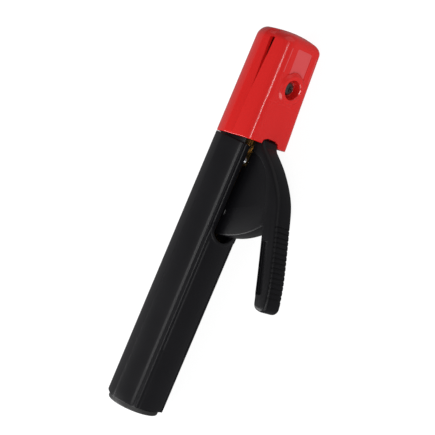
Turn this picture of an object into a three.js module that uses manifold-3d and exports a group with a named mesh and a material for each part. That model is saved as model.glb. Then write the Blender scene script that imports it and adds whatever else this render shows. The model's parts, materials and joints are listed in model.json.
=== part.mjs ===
// Electrode holder for stick welding: a brass contact body inside a moulded handle, with two insulated
// jaw caps and a spring-loaded lever that lifts one jaw off the other.
// Millimetres. While the pieces are made, X runs along the handle axis from the cable end to the jaws, the
// lever stands out towards -Y and the pivot pin lies along Z. "Reach" is a distance from the handle axis
// towards the lever. The finished group is moved so that its origin is the middle of its box's underside.
import * as THREE from 'three';
import { mergeVertices } from 'three/addons/utils/BufferGeometryUtils.js';
import Module from 'manifold-3d';

const wasm = await Module();
wasm.setup();

// ---- Driving dimensions ----

// General
const fitGap = 0.3; // between pieces that seat on each other
const runningGap = 0.15; // radial play of the pivot pin
const roundSteps = 32; // sides of a turned piece

// Handle shell: six softly swelled panels between rounded edges
const handleLength = 174;
const handleRadius = 18.5; // from the axis to the edges between the panels
const handleWall = 2.4;
const leverEdge = 37; // angles of the edges from the lever direction, in degrees
const sideEdge = 92;
const rearEdge = 146;
const leverSwell = 1.7; // how far each panel stands proud of its chord
const sideSwell = 1.1;
const rearSwell = 0.9;
const backSwell = 1.3;
const panelSteps = 4;
const slotHalfWidth = 10;
const slotLength = 61.6;
const lipWidth = 1.8; // raised rim of the lever slot, which runs on down the handle as two ribs
const lipRise = 0.5;

// End bush at the cable end
const bushInset = 2.25; // of the bush's rim from the handle's edges
const bushProud = 3.2;
const bushSpigotPlay = 0.36; // between the spigot and the handle's flattest inner panel
const bushSpigotLength = 13;
const bushWall = 2.5;
const cableHoleRadius = 8.5;

// Pivot
const pivotBehindHead = 1; // the pin's axis lies this far in front of the handle's end
const pivotReach = 5.5;
const pinRadius = 3;
const pinOverhang = 1.9; // of the pin past each ear
const clipThickness = 0.8;
const clipGroove = 0.7; // depth of the clip grooves in the pin
const clipRadius = 4.8;
const bushThickness = 1.2; // wall of the pivot bush
const washerThickness = 0.5;

// Contact body
const socketLength = 56.4; // from the socket's mouth to the end of the lever slot
const socketRadius = 10.5;
const socketBore = 7.6;
const socketDepth = 48;
const troughHalfWidth = 6.9; // inside, between the ears
const troughWall = 2;
const troughCornerGap = 0.84; // between the trough's lower corners and the handle's inner edges
const troughFloor = 2.2;
const troughWallReach = 1.5; // top edge of the side walls
const earRadius = 7;
const tongueReach = -8.4; // outside of the tongue that carries the fixed jaw
const tongueThickness = 4.8;
const tongueInset = 9.5; // between the ends of both tongues and the tip
const jawHalfWidth = 7.2;

// Jaws
const jawSetback = 11; // the jaws start this far in front of the handle
const jawInset = 8.5; // between the jaws' ends and the tip
const jawGap = 0.3; // between the closed jaws
const movingJawThickness = 3.25;
const grooveDepth = 1.6; // V grooves that hold the electrode
const grooveRows = [
  { fromEnd: 41.5, turn: 0 },
  { fromEnd: 29.5, turn: 0 },
  { fromEnd: 16.5, turn: 45 },
  { fromEnd: 16.5, turn: -45 },
  { fromEnd: 4.5, turn: 0 },
];

// Moving arm
const hubRadius = 8;
const washerRoom = 1; // between the hub and each wall of the trough
const armThickness = 3.8;
const lugHalfWidth = 4;
const lugLength = 14;

// Head caps
const headGap = 0.6; // between the handle's end and the back edge of the fixed cap
const headRakePerReach = 0.105; // the back edges slope towards the jaws on the lever side
const capRakeStart = 16.5; // reach behind the axis where the slope starts
const headLength = 72; // of the caps in front of the handle
const tipDome = 1.4;
const capWall = 2.4;
const capSplitGap = 0.3; // each cap's edge lies this far from the plane of the jaw faces
const fixedTipRound = 7.4;
const movingTipRound = 5.5;
const sideHalfWidth = 17.9; // moving cap, at the split
const cornerReachRear = 21.4; // moving cap, where its lever face and sides meet
const cornerReachTip = 18.2;
const cornerWidthRear = 18.2;
const cornerWidthTip = 14.9;
const cornerRound = 4.8;
const wedgeLength = 35.3; // the caps' edges part over this length, to let the electrode in
const wedgeInset = 6.7; // between the widest place of the wedge and the tip
const wedgeRise = 1.55;
const ribThickness = 2;
const chamberLength = 12; // of each cap behind its ribs, where the pivot ears stand

// Cap screws
const capScrewSetback = 32; // behind the tip
const capScrewHeadRadius = 4;
const capScrewHeadHeight = 2.6;
const capScrewRadius = 2.3;
const capScrewBossRadius = 10;
const capScrewBossRise = 2.2;
const capScrewRecessRadius = 6;
const fixedRecessRadius = 5.2;
const capScrewSeat = 2.2; // plastic under the head
const fixedJawHoleDepth = 3; // of the fixed jaw's blind hole for its cap screw's end
const movingJawHoleDepth = 1.2; // of the moving jaw's blind hole for its cap screw's end
const crossWidth = 1.1;
const crossSpan = 4.6;
const crossDepth = 1.5;

// Lever grip
const webSideRoom = 1.5; // between the web and each wall of the trough
const webUnderRise = 0.6; // of the web's lower edge over the face of its spring seat
const webClearance = 3.8; // between the web's curved edge and the end of the slot
const webAngleHigh = 46; // where the web's curved edge meets the finger, about the pivot, in degrees
const leverHalfWidth = 6.5;
const neckFront = 6; // in front of the pivot
const neckRear = 3.5; // behind the pivot, at the underside
const neckUnderReach = 15.2;
const fingerLength = 87.4; // from the pivot back to the finger's tip
const notchClearance = 0.8; // of the moving cap around the lever's neck
const pocketStart = 2; // finger pocket, from the root of the finger's inner edge
const pocketLength = 32;
const pocketOffset = 1.3;
const pocketHeight = 4.3;
const pocketDepth = 1.5;
const ridgeCount = 15;
const ridgePitch = 3;
const ridgeGap = 1.1;
const ridgeDepth = 0.5;
const ridgeHalfWidth = 5.2;
const ridgeStart = 37.5; // behind the pivot

// Steel core of the lever and its rivet
const coreHalfThickness = 0.9;
const coreRear = 34; // behind the pivot
const coreUnderAngle = 9; // of its lower edge about the pivot, in degrees
const coreTopReach = 26;
const rivetRadius = 1.5;
const rivetHeadRadius = 2.5;
const rivetHeadHeight = 0.9;
const rivetInset = 3.4; // from the lug's rear end

// Lever spring
const springSetback = 44; // behind the pivot
const springRadius = 4.7; // of the coil's centre line
const springWire = 0.7; // radius of the wire
const springCoils = 6;
const springSeatRadius = 5.8;
const springSeatReach = 11.6;
const springSeatHeight = 2.8;
const pegRadius = 3.3;
const pegHeight = 2.6;

// Cable clamp
const clampScrewPlaces = [12, 30]; // from the socket's mouth
const clampScrewRadius = 2.6;
const clampScrewTop = 13.2;
const clampSocketRadius = 1.5;
const ferruleRadius = 6;
const ferruleWall = 0.8;
const ferruleLength = 44;
const plateHalfWidth = 3.2;
const plateThickness = 1.4;

// Handle lock screw
const lockScrewSetback = 23; // behind the pivot
const lockScrewRadius = 2.3;
const lockHeadRadius = 4.6;
const lockBossRadius = 5;
const lockBossTop = -6;

// ---- Sizes that follow ----

const pivotX = handleLength + pivotBehindHead;
const slotEndX = handleLength - slotLength;
const slotCentreX = slotEndX + slotHalfWidth;
const webRadius = pivotX - slotEndX - webClearance;
const tipX = handleLength + headLength;
const tongueEnd = tipX - tongueInset;
const jawStart = handleLength + jawSetback;
const jawEnd = tipX - jawInset;
const wedgeEnd = tipX - wedgeInset;
const capScrewX = tipX - capScrewSetback;
const springX = pivotX - springSetback;
const lockScrewX = pivotX - lockScrewSetback;
const socketStart = slotEndX - socketLength;
const clampScrewXs = clampScrewPlaces.map((place) => socketStart + place);
const hubHalfWidth = troughHalfWidth - washerRoom;
const webHalfThickness = troughHalfWidth - webSideRoom;
const webUnderReach = springSeatReach + webUnderRise;
const earOuter = troughHalfWidth + troughWall;
const troughCornerRadius = handleRadius - handleWall - troughCornerGap;
const troughFloorReach = -Math.sqrt(troughCornerRadius ** 2 - earOuter ** 2); // outside of the floor
const jawSplitReach = pivotReach;
const fixedJawFace = jawSplitReach - jawGap / 2;
const movingJawFace = jawSplitReach + jawGap / 2;
const movingJawBack = movingJawFace + movingJawThickness;
const armUnderReach = movingJawBack + fitGap;
const armOuterReach = armUnderReach + armThickness;
const tongueInnerReach = tongueReach + tongueThickness;
const fixedJawBack = tongueInnerReach + fitGap;
const floorInnerReach = troughFloorReach + troughFloor;
const movingSeatReach = armOuterReach + fitGap + capScrewSeat;
const fixedSeatReach = tongueReach - fitGap - capScrewSeat;
const fixedScrewEnd = -fixedJawBack - fixedJawHoleDepth + fitGap;
const movingScrewEnd = movingJawBack - movingJawHoleDepth + fitGap;
const ribInner = jawHalfWidth + fitGap;
const ribOuter = ribInner + ribThickness;
const capBack = handleLength + headGap;

// ---- Makers ----

const radians = THREE.MathUtils.degToRad;
const lerp = THREE.MathUtils.lerp;
const bushRadius = handleRadius - bushInset;
const flattestInside = (handleRadius - handleWall) * Math.cos(radians(leverEdge)) + leverSwell;
const bushSpigotRadius = flattestInside - bushSpigotPlay;

// A triangle geometry as a closed solid.
function solidOf(geometry) {
  const bare = geometry.index ? geometry.toNonIndexed() : geometry.clone();
  bare.deleteAttribute('normal');
  bare.deleteAttribute('uv');
  const merged = mergeVertices(bare, 1e-4);
  return new wasm.Manifold(new wasm.Mesh({
    numProp: 3,
    vertProperties: merged.attributes.position.array,
    triVerts: new Uint32Array(merged.index.array),
  }));
}

// A named mesh with a manifold solid's faces.
function meshOf(name, solid, material) {
  const { vertProperties, triVerts } = solid.getMesh();
  const geometry = new THREE.BufferGeometry();
  geometry.setAttribute('position', new THREE.BufferAttribute(vertProperties, 3));
  geometry.setIndex(new THREE.BufferAttribute(triVerts, 1));
  geometry.computeVertexNormals();
  const mesh = new THREE.Mesh(geometry, material);
  mesh.name = name;
  return mesh;
}

// Turns a shape's own axes (u, v, depth) into three directions of the part.
function placed(geometry, uTo, vTo, depthTo) {
  return geometry.applyMatrix4(new THREE.Matrix4().makeBasis(uTo, vTo, depthTo));
}

const alongX = new THREE.Vector3(1, 0, 0);
const alongY = new THREE.Vector3(0, 1, 0);
const alongZ = new THREE.Vector3(0, 0, 1);
const toLever = new THREE.Vector3(0, -1, 0);

function extruded(points, low, high) {
  const options = { depth: high - low, bevelEnabled: false };
  return new THREE.ExtrudeGeometry(new THREE.Shape(points), options).translate(0, 0, low);
}

// An outline of [x, reach] points, extruded across the part between two heights.
function sidePlate(points, low, high) {
  return solidOf(extruded(points.map(([x, reach]) => new THREE.Vector2(x, -reach)), low, high));
}

// An outline of [x, z] points, extruded towards the lever between two reaches.
function topPlate(points, low, high) {
  const outline = points.map(([x, z]) => new THREE.Vector2(x, z));
  return solidOf(placed(extruded(outline, low, high), alongX, alongZ, toLever));
}

// A block between two x, two reaches and two heights.
function block(xLow, xHigh, reachLow, reachHigh, zLow, zHigh) {
  const geometry = new THREE.BoxGeometry(xHigh - xLow, reachHigh - reachLow, zHigh - zLow);
  geometry.translate((xLow + xHigh) / 2, -(reachLow + reachHigh) / 2, (zLow + zHigh) / 2);
  return solidOf(geometry);
}

// A closed profile of [radius, distance] points turned about a line. The distance runs along the line.
function turned(profile, direction, centre) {
  const points = profile.map(([radius, distance]) => new THREE.Vector2(radius, distance));
  if (THREE.ShapeUtils.isClockWise(points)) points.reverse();
  const closed = points[0].x > 0 || points.at(-1).x > 0 ? [...points, points[0]] : points;
  const geometry = new THREE.LatheGeometry(closed, roundSteps);
  const turn = new THREE.Quaternion().setFromUnitVectors(alongY, direction);
  return solidOf(geometry.applyQuaternion(turn).translate(centre.x, centre.y, centre.z));
}

function rod(radius, low, high, direction, centre) {
  return turned([[0, low], [radius, low], [radius, high], [0, high]], direction, centre);
}

function tube(innerRadius, outerRadius, low, high, direction, centre) {
  const profile = [[innerRadius, low], [outerRadius, low], [outerRadius, high], [innerRadius, high]];
  return turned(profile, direction, centre);
}

const onAxis = new THREE.Vector3();
const atPivot = new THREE.Vector3(pivotX, -pivotReach, 0);
const atX = (x) => new THREE.Vector3(x, 0, 0);

// Rounds the corners of an outline of [u, v, radius] points with arcs.
function rounded(corners, steps = 4) {
  return corners.flatMap(([u, v, radius], i) => {
    if (!radius) return [[u, v]];
    const corner = new THREE.Vector2(u, v);
    const towards = ([otherU, otherV]) => new THREE.Vector2(otherU, otherV).sub(corner).normalize();
    const before = towards(corners.at(i - 1));
    const after = towards(corners.at((i + 1) % corners.length));
    const half = Math.acos(before.dot(after)) / 2;
    const centre = before.clone().add(after).setLength(radius / Math.sin(half)).add(corner);
    const start = before.setLength(radius / Math.tan(half)).add(corner).sub(centre);
    const end = after.setLength(radius / Math.tan(half)).add(corner).sub(centre);
    const turn = Math.atan2(start.cross(end), start.dot(end));
    return Array.from({ length: steps + 1 }, (_, k) => {
      return start.clone().rotateAround(new THREE.Vector2(), (turn * k) / steps).add(centre).toArray();
    });
  });
}

// A solid through closed outlines of (y, z) points at rising x, each with the same number of points.
// The last end rises to a point at x + dome, above the given middle.
function lofted(stations, dome = 0, middle = new THREE.Vector2()) {
  const clockwise = THREE.ShapeUtils.isClockWise(stations[0].outline);
  const rings = stations.map(({ x, outline }) => {
    const ordered = clockwise ? [...outline].reverse() : outline;
    return ordered.map((p) => new THREE.Vector3(x, p.x, p.y));
  });
  const count = rings[0].length;
  const first = new THREE.Vector3(stations[0].x, middle.x, middle.y);
  const last = new THREE.Vector3(stations.at(-1).x + dome, middle.x, middle.y);
  const corners = [];
  for (let k = 0; k < count; k += 1) {
    const next = (k + 1) % count;
    corners.push(first, rings[0][next], rings[0][k]);
    corners.push(last, rings.at(-1)[k], rings.at(-1)[next]);
    for (let i = 0; i + 1 < rings.length; i += 1) {
      corners.push(rings[i][k], rings[i][next], rings[i + 1][next]);
      corners.push(rings[i][k], rings[i + 1][next], rings[i + 1][k]);
    }
  }
  return solidOf(new THREE.BufferGeometry().setFromPoints(corners));
}

// The handle's section of (y, z) points, with a given radius at its edges.
function handleSection(radius) {
  const edges = [leverEdge, sideEdge, rearEdge, 360 - rearEdge, 360 - sideEdge, 360 - leverEdge];
  const swells = [sideSwell, rearSwell, backSwell, rearSwell, sideSwell, leverSwell];
  const corners = edges.map((edge) => {
    return new THREE.Vector2(-Math.cos(radians(edge)), Math.sin(radians(edge))).multiplyScalar(radius);
  });
  return corners.flatMap((corner, i) => {
    const next = corners[(i + 1) % corners.length];
    const outward = corner.clone().add(next).normalize();
    return Array.from({ length: panelSteps }, (_, k) => {
      const t = k / panelSteps;
      return corner.clone().lerp(next, t).addScaledVector(outward, swells[i] * 4 * t * (1 - t));
    });
  });
}

// ---- Handle ----

// A slot open at the handle's head end, with a round end, as [x, z] points.
function slotOutline(halfWidth, farX) {
  const arc = Array.from({ length: 13 }, (_, k) => {
    const angle = Math.PI / 2 + (Math.PI * k) / 12;
    return [slotCentreX + halfWidth * Math.cos(angle), halfWidth * Math.sin(angle)];
  });
  return [...arc, [farX, -halfWidth], [farX, halfWidth]];
}

function handleShell() {
  const edgeOuter = slotHalfWidth + lipWidth;
  const spans = (radius, low, high) => {
    return lofted([{ x: low, outline: handleSection(radius) }, { x: high, outline: handleSection(radius) }]);
  };
  const rails = [1, -1].map((s) => {
    const edges = [slotHalfWidth * s, edgeOuter * s].sort((a, b) => a - b);
    return block(0, slotCentreX, 0, handleRadius * 2, ...edges);
  });
  const rim = topPlate(slotOutline(edgeOuter, handleLength), 0, handleRadius * 2);
  const raised = rim.add(rails[0]).add(rails[1]).intersect(spans(handleRadius + lipRise, 0, handleLength));
  const lockHole = turned(
    [[0, 0], [lockScrewRadius + fitGap, 0], [lockScrewRadius + fitGap, lockHeadDepth()],
      [lockHeadRadius + fitGap, handleRadius - lockHeadSink], [lockHeadRadius + fitGap, handleRadius * 2],
      [0, handleRadius * 2]],
    alongY, atX(lockScrewX),
  );
  return spans(handleRadius, 0, handleLength)
    .add(raised)
    .subtract(spans(handleRadius - handleWall, -1, handleLength + 1))
    .subtract(topPlate(slotOutline(slotHalfWidth, handleLength + 1), 0, handleRadius * 2))
    .subtract(lockHole);
}

function cableBush() {
  const collarChamfer = 0.8;
  const profile = [
    [cableHoleRadius, -bushProud],
    [bushRadius - collarChamfer, -bushProud],
    [bushRadius, collarChamfer - bushProud],
    [bushRadius, -fitGap],
    [bushSpigotRadius, -fitGap],
    [bushSpigotRadius, bushSpigotLength],
    [bushSpigotRadius - bushWall, bushSpigotLength],
    [bushSpigotRadius - bushWall, 0],
    [cableHoleRadius, 0],
  ];
  return turned(profile, alongX, onAxis);
}

// ---- Handle lock screw ----

// The countersunk head lies flush in the back panel of the handle.
const lockHeadSink = handleRadius - handleRadius * Math.cos(radians(180 - rearEdge)) - backSwell + 0.4;

function lockHeadDepth() {
  return handleRadius - lockHeadSink - (lockHeadRadius - lockScrewRadius);
}

function handleLockScrew() {
  const headTop = handleRadius - lockHeadSink;
  const profile = [
    [0, -lockBossTop + fitGap + 1],
    [lockScrewRadius, -lockBossTop + fitGap + 1],
    [lockScrewRadius, lockHeadDepth()],
    [lockHeadRadius, headTop],
    [0, headTop],
  ];
  return turned(profile, alongY, atX(lockScrewX)).subtract(crossRecess(alongY, headTop, lockScrewX));
}

// A cross recess that goes down from a screw head's top, on a line along direction through x.
function crossRecess(direction, top, x) {
  const bars = [0, 1].map((turn) => {
    const size = turn ? [crossSpan, crossWidth] : [crossWidth, crossSpan];
    const bar = new THREE.BoxGeometry(size[0], 2 * crossDepth, size[1]);
    return solidOf(bar.translate(x, top * direction.y, 0));
  });
  return bars[0].add(bars[1]);
}

// ---- Contact body ----

function contactBody() {
  const socket = tube(socketBore, socketRadius, socketStart, socketStart + socketDepth, alongX, onAxis)
    .add(rod(socketRadius, socketStart + socketDepth, slotEndX, alongX, onAxis));
  const floor = block(
    slotEndX - 2, pivotX + earRadius, troughFloorReach, floorInnerReach, -earOuter, earOuter,
  );
  const wallOutline = [
    [slotEndX - 2, troughFloorReach], [pivotX + earRadius, troughFloorReach],
    ...Array.from({ length: 13 }, (_, k) => {
      const angle = (Math.PI * k) / 12;
      return [pivotX + earRadius * Math.cos(angle), pivotReach + earRadius * Math.sin(angle)];
    }),
    [pivotX - 2.6 * earRadius, troughWallReach], [slotEndX - 2, troughWallReach],
  ];
  const walls = [troughHalfWidth, -earOuter].map((low) => sidePlate(wallOutline, low, low + troughWall));
  const bridge = block(
    pivotX - earRadius, pivotX + earRadius, troughFloorReach, tongueInnerReach, -earOuter, earOuter,
  );
  const tongue = block(pivotX, tongueEnd, tongueReach, tongueInnerReach, -jawHalfWidth, jawHalfWidth);
  const lockBoss = rod(lockBossRadius, -lockBossTop, -floorInnerReach + 1, alongY, atX(lockScrewX));
  const pegHole = rod(pegRadius - 1, -floorInnerReach - 1, -troughFloorReach - 0.6, alongY, atX(springX));
  const clampHoles = clampScrewXs.map((x) => {
    return rod(clampScrewRadius + fitGap, 0, socketRadius * 2, alongZ, atX(x));
  });
  return [
    rod(pinRadius + runningGap, -earOuter * 2, earOuter * 2, alongZ, atPivot),
    rod(capScrewRadius + fitGap, 0, -tongueReach * 2, alongY, atX(capScrewX)),
    rod(lockScrewRadius + fitGap, -lockBossTop - 1, -troughFloorReach * 2, alongY, atX(lockScrewX)),
    pegHole,
    ...clampHoles,
  ].reduce((body, hole) => body.subtract(hole), [
    floor, ...walls, bridge, tongue, lockBoss,
  ].reduce((body, piece) => body.add(piece), socket));
}

// ---- Jaws ----

// The V grooves across a jaw face at jawSplitReach, with their points at the given reach.
function grooves(faceReach, depthSign) {
  const half = grooveDepth;
  const over = 0.2;
  const length = 4 * jawHalfWidth;
  return grooveRows.map(({ fromEnd, turn }) => {
    const outline = [
      new THREE.Vector2(-half - over, -depthSign * over),
      new THREE.Vector2(half + over, -depthSign * over),
      new THREE.Vector2(0, depthSign * grooveDepth),
    ];
    const prism = extruded(outline.map((p) => new THREE.Vector2(p.x, -p.y)), -length / 2, length / 2);
    return solidOf(prism.rotateY(radians(turn)).translate(jawEnd - fromEnd, -faceReach, 0));
  });
}

function fixedJaw() {
  const body = block(jawStart, jawEnd, fixedJawBack, fixedJawFace, -jawHalfWidth, jawHalfWidth);
  const holeStart = -fixedJawBack - fixedJawHoleDepth;
  const screwHole = rod(capScrewRadius + fitGap, holeStart, -tongueReach, alongY, atX(capScrewX));
  return grooves(fixedJawFace, -1).reduce((jaw, groove) => jaw.subtract(groove), body.subtract(screwHole));
}

function movingJaw() {
  const body = block(jawStart, jawEnd, movingJawFace, movingJawBack, -jawHalfWidth, jawHalfWidth);
  const holeStart = movingJawBack - movingJawHoleDepth;
  const screwHole = rod(capScrewRadius + fitGap, holeStart, movingJawBack * 2, toLever, atX(capScrewX));
  return grooves(movingJawFace, 1).reduce((jaw, groove) => jaw.subtract(groove), body.subtract(screwHole));
}

// ---- Moving arm: hub, link and tongue in one brass piece ----

// The lever's steel core, seen from the side, as [x, reach] points. Grown by a clearance for its pocket.
function coreOutline(grow) {
  const front = pivotX - 5.5 + grow;
  const rear = pivotX - coreRear - grow;
  const low = (x) => pivotReach + (pivotX - x) * Math.tan(radians(coreUnderAngle)) - grow;
  return [
    [front, pivotReach + 3 - grow],
    [pivotX - lugLength, low(pivotX - lugLength) + 1],
    [rear, low(rear) + 1],
    [rear, coreTopReach + grow],
    [lerp(rear, front, 0.6), coreTopReach + grow],
    [front, pivotReach + hubRadius + grow],
  ];
}

const rivetSpot = new THREE.Vector3(pivotX - lugLength + rivetInset, -pivotReach - hubRadius / 2 - 1, 0);

function movingArm() {
  const hub = rod(hubRadius, -hubHalfWidth, hubHalfWidth, alongZ, atPivot);
  const lug = sidePlate([
    [pivotX, pivotReach + hubRadius], [pivotX - lugLength, pivotReach + hubRadius],
    [pivotX - lugLength, pivotReach + 3], [pivotX - hubRadius, pivotReach],
  ], -lugHalfWidth, lugHalfWidth);
  const link = sidePlate([
    [pivotX, pivotReach + hubRadius], [jawStart + 4, armOuterReach], [jawStart + 4, armUnderReach],
    [jawStart - fitGap, armUnderReach], [jawStart - fitGap - 1, movingJawFace + 1],
    [pivotX + 4, movingJawFace],
  ], -hubHalfWidth, hubHalfWidth);
  const tongue = block(jawStart, tongueEnd, armUnderReach, armOuterReach, -jawHalfWidth, jawHalfWidth);
  const core = sidePlate(coreOutline(fitGap), -coreHalfThickness - fitGap, coreHalfThickness + fitGap);
  return hub.add(lug).add(link).add(tongue)
    .subtract(core)
    .subtract(rod(rivetRadius + fitGap, -hubHalfWidth, hubHalfWidth, alongZ, rivetSpot))
    .subtract(rod(pinRadius + runningGap + bushThickness + fitGap, -hubRadius, hubRadius, alongZ, atPivot))
    .subtract(rod(capScrewRadius + fitGap, 0, armOuterReach * 2, toLever, atX(capScrewX)));
}

function leverCore() {
  return sidePlate(coreOutline(0), -coreHalfThickness, coreHalfThickness)
    .subtract(rod(rivetRadius + fitGap, -hubHalfWidth, hubHalfWidth, alongZ, rivetSpot));
}

function coreRivet() {
  const grip = lugHalfWidth + fitGap;
  const end = grip + rivetHeadHeight;
  const profile = [
    [0, -end], [rivetHeadRadius - 0.5, -end], [rivetHeadRadius, -grip], [rivetRadius, -grip],
    [rivetRadius, grip], [rivetHeadRadius, grip], [rivetHeadRadius - 0.5, end], [0, end],
  ];
  return turned(profile, alongZ, rivetSpot);
}

// ---- Pivot ----

function pivotPin() {
  const half = earOuter + pinOverhang;
  const grooveLow = earOuter + fitGap / 2;
  const grooveHigh = earOuter + fitGap * 1.5 + clipThickness;
  const neck = pinRadius - clipGroove;
  const end = [[pinRadius, grooveLow], [neck, grooveLow], [neck, grooveHigh], [pinRadius, grooveHigh],
    [pinRadius, half - 0.4], [pinRadius - 0.4, half], [0, half]];
  const mirrored = end.map(([radius, z]) => [radius, -z]).reverse();
  return turned([...mirrored, ...end], alongZ, atPivot);
}

function pinClip(sign) {
  const low = earOuter + fitGap;
  const ring = tube(pinRadius - clipGroove + fitGap, clipRadius, low, low + clipThickness, alongZ, atPivot);
  const mouth = block(pivotX, pivotX + clipRadius * 2, pivotReach - 2, pivotReach + 2, 0, low * 2);
  const clip = ring.subtract(mouth);
  return sign > 0 ? clip : clip.mirror([0, 0, 1]);
}

function pivotBush() {
  const inner = pinRadius + runningGap;
  const half = hubHalfWidth - 0.1;
  return tube(inner, inner + bushThickness, -half, half, alongZ, atPivot);
}

function thrustWasher(sign) {
  const middle = (sign * (hubHalfWidth + troughHalfWidth)) / 2;
  const half = washerThickness / 2;
  return tube(pinRadius + fitGap, earRadius - 0.8, middle - half, middle + half, alongZ, atPivot);
}

// ---- Head caps ----

const splitMiddle = new THREE.Vector2(-jawSplitReach, 0);

// Stations of a cap that closes in with a round of the given radius at its tip.
function capStations(section, wall, tipRound, widest) {
  const round = tipRound - wall / 2;
  const endX = tipX - tipDome - wall;
  const start = handleLength - 2 * wall;
  const steps = [0, 22.5, 45, 67.5, 90].map((angle) => ({
    x: endX - round + round * Math.sin(radians(angle)),
    scale: 1 - (round / widest) * (1 - Math.cos(radians(angle))),
  }));
  return [{ x: start, scale: 1 }, ...steps].map(({ x, scale }) => ({
    x,
    outline: section(x, wall).map((p) => p.clone().sub(splitMiddle).multiplyScalar(scale).add(splitMiddle)),
  }));
}

function movingSection(x, wall) {
  const t = (x - handleLength) / (tipX - handleLength);
  const cornerReach = lerp(cornerReachRear, cornerReachTip, t) - wall;
  const cornerWidth = lerp(cornerWidthRear, cornerWidthTip, t) - wall;
  const outline = [
    [0, sideHalfWidth - wall],
    [-cornerReach, cornerWidth, cornerRound - wall / 2],
    [-cornerReach, -cornerWidth, cornerRound - wall / 2],
    [0, wall - sideHalfWidth],
  ];
  return rounded(outline).map(([y, z]) => new THREE.Vector2(y, z));
}

// Cuts a cap back to its sloping rear edge and, at the split, to its own side of the jaw faces.
function trimmed(cap, side) {
  const far = 60;
  const rearX = (reach) => capBack + headRakePerReach * (reach + capRakeStart);
  const rear = sidePlate([[0, -far], [rearX(-far), -far], [rearX(far), far], [0, far]], -far, far);
  const edge = jawSplitReach + side * capSplitGap;
  const beyond = side > 0 ? [-far, edge] : [edge, far];
  const wedge = sidePlate([
    [wedgeEnd - wedgeLength, edge - side], [wedgeEnd - wedgeLength, edge],
    [wedgeEnd, edge + side * wedgeRise], [wedgeEnd, edge - side],
  ], -far, far);
  return cap.subtract(rear).subtract(block(0, tipX * 2, ...beyond, -far, far)).subtract(wedge);
}

// The ribs inside a cap that flank the jaw, and the pillar that the screw goes through.
function capInside(pillar) {
  const start = handleLength + chamberLength;
  const far = 40;
  return block(start, tipX, -far, far, ribInner, ribOuter)
    .add(block(start, tipX, -far, far, -ribOuter, -ribInner))
    .add(pillar);
}

function movingJawCap() {
  const widest = cornerReachTip - jawSplitReach;
  const outer = lofted(capStations(movingSection, 0, movingTipRound, widest), tipDome, splitMiddle);
  const inner = lofted(capStations(movingSection, capWall, movingTipRound, widest), 0, splitMiddle);
  const faceReach = lerp(cornerReachRear, cornerReachTip, (capScrewX - handleLength) / (tipX - handleLength));
  const boss = turned([
    [0, 0], [capScrewBossRadius, 0], [capScrewBossRadius, faceReach - 0.4],
    [capScrewBossRadius - 2, faceReach + capScrewBossRise], [0, faceReach + capScrewBossRise],
  ], toLever, atX(capScrewX));
  const pillar = rod(capScrewBossRadius - 1.5, armOuterReach + fitGap, faceReach, toLever, atX(capScrewX));
  const jawRoom = block(
    jawStart - 1, jawEnd + fitGap, 0, armOuterReach + fitGap, -ribInner, ribInner,
  );
  const hollow = inner.subtract(capInside(pillar)).add(jawRoom);
  const neckHalf = leverHalfWidth + notchClearance;
  const notchFront = pivotX + neckFront + notchClearance;
  const notch = block(0, notchFront, neckUnderReach - 1, handleRadius * 3, -neckHalf, neckHalf);
  return trimmed(outer.add(boss.subtract(inner)), 1)
    .subtract(hollow)
    .subtract(notch)
    .subtract(rod(capScrewRecessRadius, movingSeatReach, cornerReachRear * 2, toLever, atX(capScrewX)))
    .subtract(rod(capScrewRadius + fitGap, 0, cornerReachRear, toLever, atX(capScrewX)));
}

function fixedJawCap() {
  const section = (x, wall) => handleSection(handleRadius - wall);
  const widest = handleRadius + jawSplitReach;
  const outer = lofted(capStations(section, 0, fixedTipRound, widest), tipDome, splitMiddle);
  const inner = lofted(capStations(section, capWall, fixedTipRound, widest), 0, splitMiddle);
  const pillar = rod(capScrewBossRadius - 2, -tongueReach + fitGap, handleRadius, alongY, atX(capScrewX));
  const jawRoom = block(
    jawStart - 1, jawEnd + fitGap, tongueReach - fitGap, handleRadius, -ribInner, ribInner,
  );
  const hollow = inner.subtract(capInside(pillar)).add(jawRoom);
  return trimmed(outer, -1)
    .subtract(hollow)
    .subtract(rod(fixedRecessRadius, -fixedSeatReach, handleRadius * 2, alongY, atX(capScrewX)))
    .subtract(rod(capScrewRadius + fitGap, 0, handleRadius, alongY, atX(capScrewX)));
}

function capScrew(direction, seat, tip) {
  const top = seat + fitGap + capScrewHeadHeight;
  const profile = [
    [0, tip], [capScrewRadius, tip], [capScrewRadius, seat + fitGap], [capScrewHeadRadius, seat + fitGap],
    [capScrewHeadRadius, top - 0.9], [capScrewHeadRadius - 1.2, top], [0, top],
  ];
  return turned(profile, direction, atX(capScrewX)).subtract(crossRecess(direction, top, capScrewX));
}

// ---- Lever grip ----

// The finger's outer and inner edges, as [distance behind the pivot, reach] points turned into [x, reach].
const behindPivot = (points) => points.map(([distance, reach]) => [pivotX - distance, reach]);
const fingerOuter = behindPivot([[-2, 24], [8.3, 38.4], [22.4, 51.6], [40, 60.2], [65, 70.8], [78.4, 75.1]]);
const fingerInner = behindPivot(
  [[79.4, 63.8], [66, 58.4], [47.6, 50.6], [30.3, 43.2], [13, 33.8], [5.5, 24]],
);

function curveThrough(points, steps) {
  const curve = new THREE.SplineCurve(points.map(([x, reach]) => new THREE.Vector2(x, reach)));
  return curve.getPoints(steps).map((p) => p.toArray());
}

function leverBand() {
  const endX = pivotX - fingerLength;
  const tip = rounded([
    fingerOuter.at(-1), [endX + 0.4, 76.6, 4.6], [endX + 1.2, 66.3, 3.4], fingerInner[0],
  ]).slice(1, -1);
  return sidePlate([
    [pivotX + neckFront, neckUnderReach], [pivotX + neckFront, 21], ...curveThrough(fingerOuter, 20), ...tip,
    ...curveThrough(fingerInner, 20), [pivotX - neckRear, neckUnderReach],
  ], -leverHalfWidth, leverHalfWidth);
}

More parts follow.
